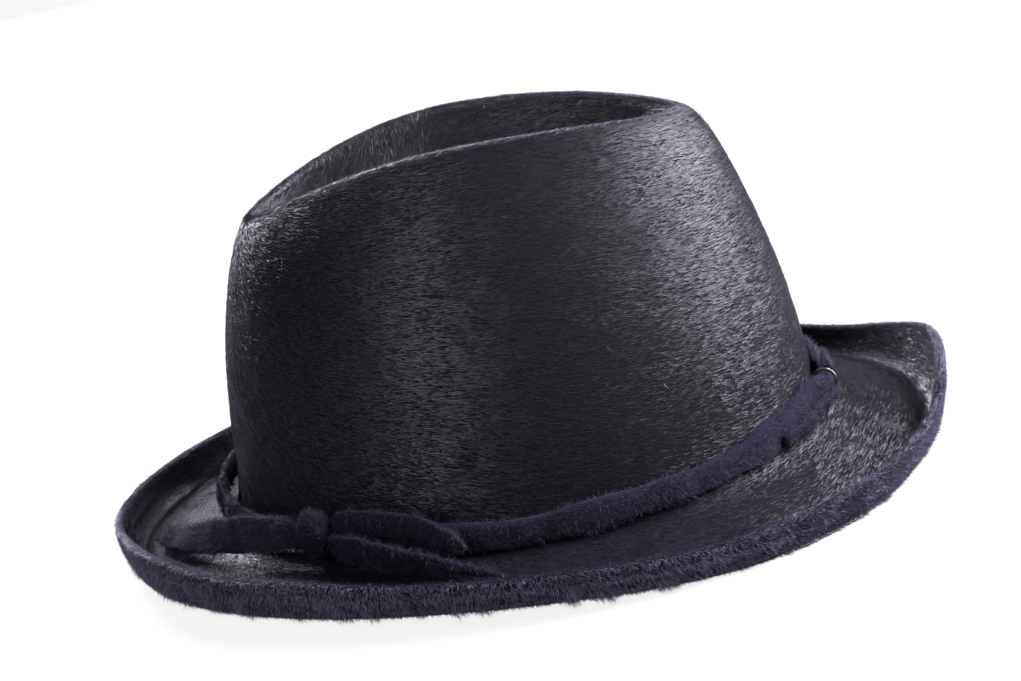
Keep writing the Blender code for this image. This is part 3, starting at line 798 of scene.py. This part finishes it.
def rim_nap(grid, normals, places, bend, nap):
    """Short ruffled nap of the brim's under face and rounded edge, drawn into tufts at the bend.

    It points down and round on the near side, and lies along the rim towards the back of the hat."""
    count, rng = RIM_FIBRES, np.random.default_rng(15)
    start = int(np.searchsorted(places, bend - BEND_OVERLAP))
    under = grid[start:] - normals[start:] * felt_thickness(places)[start:, None, None]
    hem, spokes = hem_arc(grid, under, normals, np.arange(170.0, 0.0, -15.0))
    area, faces = np.concatenate([under, hem]), np.concatenate([-normals[start:], spokes])
    points, normal, across, along, row, column = pick_from_grid(area, faces, count, rng)
    around, share = column / FELT_GRID_TURNS, row / (len(area) - 1)
    turns = np.radians(around * 360.0)
    tuft = patches(around, share, 230, 5, 52)
    past_bend = row * FELT_GRID_STEP + places[start] - bend
    at_bend = np.exp(-(((past_bend - 0.002) / 0.006) ** 2)) * np.clip(tuft, 0, 1)
    level = np.clip(0.35 + 0.75 * np.sin(turns) * np.sign(np.cos(turns)), -1, 1)
    main = unit(across * level[:, None] - along * (1.05 - np.abs(level))[:, None])
    angle = np.radians(26 * patches(around, share, 90, 5, 51) + 20 * tuft + rng.normal(0, 24, count))
    lift = 22 + 12 * patches(around, share, 260, 12, 53) + 22 * at_bend + rng.normal(0, 9, count)
    shade = 0.14 + 0.15 * patches(around, share, 120, 6, 54) + 0.10 * tuft
    return brushed_nap("rim_nap", points, normal, turned(main, np.cross(normal, main), angle), lift,
                       RIM_NAP, 1.5, shade, rng, nap, 1 + 1.3 * at_bend)


def stray_hairs(grid, normals, places, ridge, head, nap):
    """A few long pale hairs that lie loose on the crown's nap."""
    count, rng = STRAY_HAIRS, np.random.default_rng(16)
    lengths, widths = STRAY_NAP
    start, end = np.searchsorted(places, (ridge, head))
    points, normal, across, along, _, _ = pick_from_grid(grid[start:end], normals[start:end], count, rng)
    direction = turned(across, -along, np.radians(rng.normal(-8, 24, count)))
    lift, length = rng.uniform(10, 22, count), rng.uniform(*lengths, count)
    width, tone = rng.uniform(*widths, count), np.ones(count)
    points = points + normal * STRAY_LIFT
    return lay_nap("stray_hairs", points, normal, direction, lift, length, width, tone, rng, nap)


def ring_inner():
    return RING_RADIUS - RING_WIRE / 2


def ring_outer():
    return RING_RADIUS + RING_WIRE / 2


def neck_share(turns):
    """1 where the strap passes through the ring, easing to 0 half the neck's length away on each side."""
    reach = np.degrees(NECK_LENGTH / 2 / (HEAD_LENGTH / 2))
    away = np.clip(np.abs(turns - RING_TURN) / reach, 0, 1)
    return 0.5 + 0.5 * np.cos(np.pi * away)


def band_section(turns):
    """Height of the strap's middle, its own height, its stand-off from the crown, its thickness."""
    neck = neck_share(turns)
    wave = np.radians(turns)
    middle = head_height(turns) + BAND_HEIGHT * round_the_crown(BAND_ROWS, turns)
    middle = middle + BAND_WAVE * np.sin(MIDDLE_WAVES * wave) * (1 - neck)
    neck_height = 2 * np.sqrt((ring_inner() - CLEARANCE) ** 2 - (NECK_THICKNESS / 2) ** 2)
    height = BAND_HEIGHT + (neck_height - BAND_HEIGHT) * neck
    height = height - BAND_WAVE * (1 + np.cos(HEIGHT_WAVES * wave)) * (1 - neck)
    standoff_at_ring = ring_outer() + CLEARANCE * 2 - NECK_THICKNESS / 2
    slack = BAND_THICKNESS * np.clip(round_the_crown(SLACK_ROWS, turns), 0, None)
    standoff = BAND_STANDOFF + slack + (standoff_at_ring - BAND_STANDOFF) * neck
    thickness = BAND_THICKNESS + (NECK_THICKNESS - BAND_THICKNESS) * neck
    return middle, height, standoff, thickness


def rounded_section():
    """Section of a strap, from -1 to 1 each way: flat on its faces and round at its edges."""
    angle = np.arange(SECTION_AROUND) * 2 * np.pi / SECTION_AROUND
    thick = np.sign(np.cos(angle)) * np.abs(np.cos(angle)) ** FACE_FLATNESS
    wide = np.sign(np.sin(angle)) * np.abs(np.sin(angle)) ** EDGE_ROUNDNESS
    return thick, wide


def band_grid():
    """The strap round the crown: rows round the crown, columns round its section. Its edges wander."""
    turns = np.arange(BAND_AROUND) * 360.0 / BAND_AROUND
    thick, wide = rounded_section()
    middle, height, standoff, thickness = band_section(turns)
    around = turns / 360.0
    free = 1 - neck_share(turns)
    upper = 0.0008 * patches(around, 0 * around, 64, 1, 71) * free
    lower = 0.0008 * patches(around, 0 * around, 58, 1, 72) * free
    swell = 0.0004 * (1 + patches(around, 0 * around, 90, 1, 73)) * free
    up = np.where(wide > 0, upper[:, None], lower[:, None]) * np.abs(wide)
    heights = middle[:, None] + wide * height[:, None] / 2 + up
    distance = standoff[:, None] + thickness[:, None] * (0.5 + 0.5 * thick)
    distance = distance + swell[:, None] * np.clip(thick, 0, 1)
    every = np.repeat(turns, SECTION_AROUND)
    return beside_crown(every, distance.ravel(), heights.ravel()).reshape(BAND_AROUND, SECTION_AROUND, 3)


def strip_grid(points, widths, thicknesses, leans, seed):
    """A strip of felt: rows along its path, columns round its section, rounded off at both ends.

    Each section is a rounded rectangle across the path, turned by its lean, and its edges wander a little."""
    tangents = unit(np.gradient(points, axis=0))
    upright = unit(np.array([0.0, 0.0, 1.0]) - tangents * tangents[:, 2:])
    side = np.cross(tangents, upright)
    lean = np.radians(leans)[:, None]
    across = upright * np.cos(lean) + side * np.sin(lean)
    through = side * np.cos(lean) - upright * np.sin(lean)
    steps = np.linalg.norm(np.diff(points, axis=0), axis=1)
    along = np.concatenate([[0.0], np.cumsum(steps)])
    to_end = np.minimum(along, along[-1] - along)
    close = np.sqrt(1 - (1 - np.clip(to_end / END_ROUNDING, 0, 1)) ** 2)
    share = along / along[-1]
    widths = widths * (1 + 0.07 * patches(0 * share, share, 1, 14, seed)) * close
    thicknesses = thicknesses * (1 + 0.12 * patches(0 * share, share, 1, 20, seed + 1)) * close
    thick, wide = rounded_section()
    sway = 0.0003 * patches(0 * share, share, 1, 10, seed + 2)[:, None, None]
    grid = points[:, None] + across[:, None] * (widths[:, None] / 2 * wide)[:, :, None]
    depth = (thicknesses[:, None] / 2 * thick)[:, :, None] + sway * close[:, None, None]
    return grid + through[:, None] * depth


def bow_strip(rows, start, reach, seed):
    """One of the bow's strips, from its start beside the knot round the crown by its reach."""
    share = np.linspace(0, 1, STRIP_STEPS)
    path = curve_through(rows, share)
    distance = path[:, 1] * KNOT_DEPTH
    turns = start + reach * share
    points = beside_crown(turns, distance, brim_height(turns, distance) + path[:, 2] * KNOT_HEIGHT)
    return strip_grid(points, path[:, 3] * STRAP_WIDTH, path[:, 4] * STRAP_THICKNESS, path[:, 5], seed)


def ring_strand(rows, seed):
    """A strand of felt that runs up to the ring, placed from the ring's centre."""
    ends = np.array(rows)[[0, -1], 0]
    turns = np.linspace(*ends, STRIP_STEPS // 2)
    path = curve_through(rows, turns)
    middle, _, standoff, thickness = band_section(RING_TURN + turns)
    distance = standoff + thickness / 2 + path[:, 1] * RING_RADIUS
    points = beside_crown(RING_TURN + turns, distance, middle + path[:, 2] * RING_RADIUS)
    return strip_grid(points, path[:, 3] * STRAP_WIDTH, path[:, 4] * STRAP_THICKNESS, path[:, 5], seed)


def knot_place():
    """Centre of the knot, and the turns that its half width takes up round the crown."""
    turn = np.array([KNOT_TURN])
    distance = np.array([BAND_STANDOFF + BAND_THICKNESS + CLEARANCE + KNOT_DEPTH / 2])
    centre = beside_crown(turn, distance, brim_height(turn, distance) + KNOT_LIFT)[0]
    ahead = beside_crown(turn + DIRECTION_STEP, distance, centre[2:])[0]
    behind = beside_crown(turn - DIRECTION_STEP, distance, centre[2:])[0]
    along_per_turn = np.linalg.norm(ahead - behind) / (2 * DIRECTION_STEP)
    return centre, (KNOT_WIDTH / 2 + CLEARANCE) / along_per_turn


def knot_grid():
    """The knot: a softened ball, drawn in by folds that run up it, rows from foot to top, columns round it."""
    rise, angle = np.meshgrid(np.linspace(-np.pi / 2, np.pi / 2, KNOT_ROWS),
                              np.arange(KNOT_COLUMNS) * 2 * np.pi / KNOT_COLUMNS, indexing="ij")
    share = (rise + np.pi / 2) / np.pi
    folds = 1 - 0.07 * (0.5 + 0.5 * np.cos(7 * angle + 1.5 * np.sin(2 * rise))) * np.cos(rise)
    lumps = 1 - 0.06 * (1 + patches(angle / (2 * np.pi), share, 9, 6, 81)) * np.cos(rise)
    parts = np.stack([np.cos(rise) * np.cos(angle), np.cos(rise) * np.sin(angle), np.sin(rise)], axis=2)
    parts = np.sign(parts) * np.abs(parts) ** KNOT_SOFTNESS * (folds * lumps)[:, :, None]
    size = np.array([KNOT_WIDTH, KNOT_DEPTH, KNOT_HEIGHT]) / 2
    out = np.append(outward(np.array([KNOT_TURN]))[0], 0.0)
    side = np.array([out[1], -out[0], 0.0])
    frame_axes = np.array([side, out, [0.0, 0.0, 1.0]])
    return knot_place()[0] + (parts * size) @ frame_axes


def ring_grid():
    """The wire ring: a small circle carried round a larger one that stands square to the crown's face."""
    turn = np.array([RING_TURN])
    middle, _, standoff, thickness = band_section(turn)
    centre = beside_crown(turn, standoff + thickness / 2, middle)[0]
    out = np.append(outward(turn)[0], 0.0)
    through = np.array([-out[1], out[0], 0.0])
    large = (np.arange(RING_STEPS) * 2 * np.pi / RING_STEPS)[:, None, None]
    small = (np.arange(WIRE_STEPS) * 2 * np.pi / WIRE_STEPS)[None, :, None]
    spoke = out * np.cos(large) + np.array([0.0, 0.0, 1.0]) * np.sin(large)
    radius = RING_RADIUS + RING_WIRE / 2 * np.cos(small)
    return centre + spoke * radius + through * (RING_WIRE / 2 * np.sin(small))


def tube_normals(grid, ring=False):
    """Normals of a tube's grid, and whether its faces must be turned round to point outwards.

    ring is for a tube whose last row meets its first."""
    if ring:
        normals = around_normals(np.concatenate([grid[-1:], grid, grid[:1]]))[1:-1]
    else:
        normals = around_normals(grid)
    outwards = np.sum(normals * (grid - grid.mean(axis=1, keepdims=True))) > 0
    return normals if outwards else -normals, not outwards


def tube_surface(name, grid, material, ring=False):
    """Closed surface from a tube's grid. Its map holds metres along it and round it."""
    rows, columns = grid.shape[:2]
    _, turned = tube_normals(grid, ring)
    faces, row, column = grid_faces(rows, columns, ring)
    length = np.linalg.norm(np.diff(grid, axis=0), axis=2).mean(axis=1).sum()
    girth = np.linalg.norm(grid - np.roll(grid, 1, axis=1), axis=2).sum(axis=1).mean()
    uv = np.stack([row * length / rows, column * girth / columns], axis=2)
    if turned:
        faces, uv = faces[:, ::-1], uv[:, ::-1]
    piece = make_mesh(name, grid.reshape(-1, 3), faces, [material], uv)
    weld(piece)
    return piece


def strap_fuzz(name, tubes, nap):
    """Short nap that stands out every way from felt straps, a little along them.

    A tube is its grid, whether it is a ring, its number of fibres and its seed."""
    lengths, widths = STRAP_NAP
    parts = []
    for grid, ring, count, seed in tubes:
        rng = np.random.default_rng(seed)
        normals, _ = tube_normals(grid, ring)
        if ring:
            grid, normals = np.concatenate([grid, grid[:1]]), np.concatenate([normals, normals[:1]])
        points, normal, across, along, row, column = pick_from_grid(grid, normals, count, rng)
        direction = turned(along, across, rng.normal(0, 0.9, count))
        tuft = patches(column / grid.shape[1], row / len(grid), 6, max(8, len(grid) // 4), seed)
        lift = 34 + 16 * tuft + rng.normal(0, 10, count)
        length = rng.uniform(*lengths, count) * (1 + 0.35 * tuft)
        parts.append((points, normal, direction, lift, length, 0.35 * tuft + rng.uniform(0, 1, count) ** 1.5))
    points, normal, direction, lift, length, tone = [np.concatenate(part) for part in zip(*parts)]
    rng = np.random.default_rng(19)
    width = rng.uniform(*widths, len(points))
    return lay_nap(name, points, normal, direction, lift, length, width, tone, rng, nap)


FLOOR_GLOW = 0.86
FLOOR_TONE = 0.22
WORLD_GLOW = 0.08


def make_floor():
    """A plain pale floor, a little brighter where the camera sees it, as in a white studio."""
    bpy.ops.mesh.primitive_plane_add(size=12.0)
    floor = bpy.context.object
    floor.name = "floor"
    material, nodes, links = new_material("pale floor")
    shader = nodes["Principled BSDF"]
    set_inputs(shader, {"Base Color": (FLOOR_TONE, FLOOR_TONE, FLOOR_TONE, 1.0), "Roughness": 0.9,
                        "Specular IOR Level": 0.0, "Emission Color": (1.0, 1.0, 0.995, 1.0)})
    path, glow = nodes.new("ShaderNodeLightPath"), nodes.new("ShaderNodeMath")
    glow.operation = "MULTIPLY"
    glow.inputs[1].default_value = FLOOR_GLOW
    links.new(path.outputs["Is Camera Ray"], glow.inputs[0])
    links.new(glow.outputs[0], shader.inputs["Emission Strength"])
    floor.data.materials.append(material)
    floor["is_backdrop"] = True


CAMERA_TARGET = np.array([0.0, 0.0, 0.052])
CAMERA_DISTANCE = 0.700
CAMERA_HEIGHT_ANGLE = 18.0
CAMERA_ROLL = 10.5
CAMERA_LENS = 70.1


def place_thing(name, data, right, up, back, place):
    """Object whose own X, Y and Z axes point right, up and back."""
    matrix = np.eye(4)
    matrix[:3] = np.column_stack([right, up, back, place])
    thing = bpy.data.objects.new(name, data)
    thing.matrix_world = Matrix(matrix.tolist())
    bpy.context.scene.collection.objects.link(thing)
    return thing


def make_camera():
    """Camera at the wearer's left, a little above the crown's middle, rolled as the photo is."""
    rise, roll = np.radians(CAMERA_HEIGHT_ANGLE), np.radians(CAMERA_ROLL)
    back = np.array([np.cos(rise), 0.0, np.sin(rise)])
    right = unit(np.cross(-back, [0.0, 0.0, 1.0]))
    up = np.cross(right, -back)
    right, up = right * np.cos(roll) - up * np.sin(roll), right * np.sin(roll) + up * np.cos(roll)
    data = bpy.data.cameras.new("camera")
    data.lens = CAMERA_LENS
    data.sensor_width = 36.0
    data.clip_start = 0.01
    place = CAMERA_TARGET + back * CAMERA_DISTANCE
    bpy.context.scene.camera = place_thing("camera", data, right, up, back, place)


LIGHT_COLOUR = (0.87, 0.87, 1.0)
# Lights: turn, rise, distance, width, height, power
LIGHTS = {
    "window on the right": (84, 38, 1.5, 1.1, 1.2, 60),
    "window on the left": (-50, 30, 1.6, 0.35, 1.2, 7),
    "high soft light": (10, 80, 1.8, 1.2, 1.2, 1),
    "low light at the front": (-152, 24, 1.6, 0.5, 1.0, 44),
}
BRIM_LIGHT = (155, 30, 1.6, 0.16, 0.16, 0.09)
BRIM_LIGHT_AIM = np.array([-0.02, -0.16, 0.01])
BRIM_LIGHT_SPREAD = 9.0


def soft_light(name, turn, rise, distance, width, height, power, aim=CAMERA_TARGET, spread=180.0):
    """Soft box that faces a point of the hat from a turn and a rise, its light held within a spread."""
    turn, rise = np.radians(turn), np.radians(rise)
    back = np.array([np.cos(rise) * np.cos(turn), np.cos(rise) * np.sin(turn), np.sin(rise)])
    right = unit(np.cross(-back, [0.0, 0.0, 1.0]))
    data = bpy.data.lights.new(name, "AREA")
    data.shape = "RECTANGLE"
    data.size, data.size_y = width, height
    data.energy = power
    data.spread = np.radians(spread)
    data.color = LIGHT_COLOUR
    place_thing(name, data, right, np.cross(right, -back), back, aim + back * distance)


def make_world():
    """Pale surroundings: bright where the camera sees them, dimmer as light on the hat."""
    world = bpy.data.worlds.new("pale surroundings")
    bpy.context.scene.world = world
    world.use_nodes = True
    nodes, links = world.node_tree.nodes, world.node_tree.links
    nodes["Background"].inputs[0].default_value = (1.0, 1.0, 1.0, 1.0)
    nodes["Background"].inputs[1].default_value = WORLD_GLOW
    seen = nodes.new("ShaderNodeBackground")
    seen.inputs[0].default_value = (1.0, 1.0, 0.99, 1.0)
    seen.inputs[1].default_value = 1.0
    path, mix = nodes.new("ShaderNodeLightPath"), nodes.new("ShaderNodeMixShader")
    links.new(path.outputs["Is Camera Ray"], mix.inputs[0])
    links.new(nodes["Background"].outputs[0], mix.inputs[1])
    links.new(seen.outputs[0], mix.inputs[2])
    links.new(mix.outputs[0], nodes["World Output"].inputs[0])


def dress(piece, slot, *nodes):
    """Every piece rides on the one body and stands for the nodes it replaces, which are hidden. Its slot is
    not used.
    """
    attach(piece, "root")
    if nodes:
        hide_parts(*nodes)


bpy.context.scene.view_settings.view_transform = "Standard"
make_camera()
make_world()
make_floor()
for light_name, light_row in LIGHTS.items():
    soft_light(light_name, *light_row)
soft_light("low light on the brim's front", *BRIM_LIGHT, BRIM_LIGHT_AIM, BRIM_LIGHT_SPREAD)

streaks = streak_group()
ground = felt_ground("navy felt under the nap", streaks, (0.0035, 0.0033, 0.0065), (0.008, 0.0075, 0.013),
                     260.0, 2600.0, 0.0004, 0.8)
inside_felt = felt_ground("plain navy felt inside", streaks, (0.006, 0.006, 0.012), (0.016, 0.015, 0.026),
                          900.0, 1100.0, 0.0003, 0.9)
strap_ground = felt_ground("navy felt strap", streaks, (0.012, 0.011, 0.022), (0.034, 0.031, 0.058),
                           500.0, 1500.0, 0.0004, 0.85)
nap = nap_material("long navy nap", NAP_DARK, NAP_MIDDLE, NAP_LIGHT, 0.42, 1.0)
rim_felt = nap_material("ruffled violet nap", (0.018, 0.016, 0.034), (0.070, 0.063, 0.118),
                        (0.240, 0.222, 0.350), 0.5, 0.9)
strap_felt = nap_material("short violet nap", (0.036, 0.034, 0.050), (0.080, 0.075, 0.108),
                          (0.135, 0.128, 0.172), 0.7, 0.1)
wire = wire_material()

dress(hat_surface(ground, inside_felt), "body_felt", "hat_body")
all_turns = np.arange(FELT_GRID_TURNS) * 360.0 / FELT_GRID_TURNS
felt, felt_places, (ridge_place, head_place, bend_place) = felt_grid(all_turns, FELT_GRID_STEP)
felt_faces = felt_normals(felt)
for piece in crown_nap(felt, felt_faces, felt_places, ridge_place, head_place, nap):
    dress(piece, "body_felt")
dress(dent_nap(felt, felt_faces, felt_places, ridge_place, nap), "body_felt")
# The ridge's fuzz wears the light violet rim nap as a painted highlight.
dress(ridge_fuzz(felt, felt_faces, felt_places, ridge_place, rim_felt), "body_felt")
dress(brim_nap(felt, felt_faces, felt_places, head_place, nap), "body_felt")
dress(rim_nap(felt, felt_faces, felt_places, bend_place, rim_felt), "body_felt")
dress(stray_hairs(felt, felt_faces, felt_places, ridge_place, head_place, nap), "body_felt")

knot_half = knot_place()[1]
band = band_grid()
strips = {
    "bow_left_tail": bow_strip(LEFT_TAIL_ROWS, KNOT_TURN - knot_half, LEFT_TAIL_REACH, 91),
    "bow_right_loop": bow_strip(RIGHT_LOOP_ROWS, KNOT_TURN + knot_half, RIGHT_LOOP_REACH, 94),
    "bow_right_tail": bow_strip(RIGHT_TAIL_ROWS, KNOT_TURN + knot_half, RIGHT_TAIL_REACH, 97),
    "bow_knot": knot_grid(),
    "ring_left_strand": ring_strand(LEFT_STRAND_ROWS, 101),
    "ring_back_strand": ring_strand(BACK_STRAND_ROWS, 104),
}
dress(tube_surface("felt_band", band, strap_ground, ring=True), "strap_felt", "band")
for node, grid in strips.items():
    dress(tube_surface("felt_" + node, grid, strap_ground), "strap_felt", node)
dress(strap_fuzz("band_fuzz", [(band, True, BAND_FIBRES, 61)], strap_felt), "strap_felt")
tubes = [(grid, False, count, 62 + index)
         for index, (grid, count) in enumerate(zip(strips.values(), STRIP_FIBRES))]
dress(strap_fuzz("bow_fuzz", tubes, strap_felt), "strap_felt")
dress(tube_surface("wire_ring", ring_grid(), wire, ring=True), "ring_wire", "band_ring")

boxes = {"cad": cad_box, "visual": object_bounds()}
{box: [list(corner) for corner in corners] for box, corners in boxes.items()}
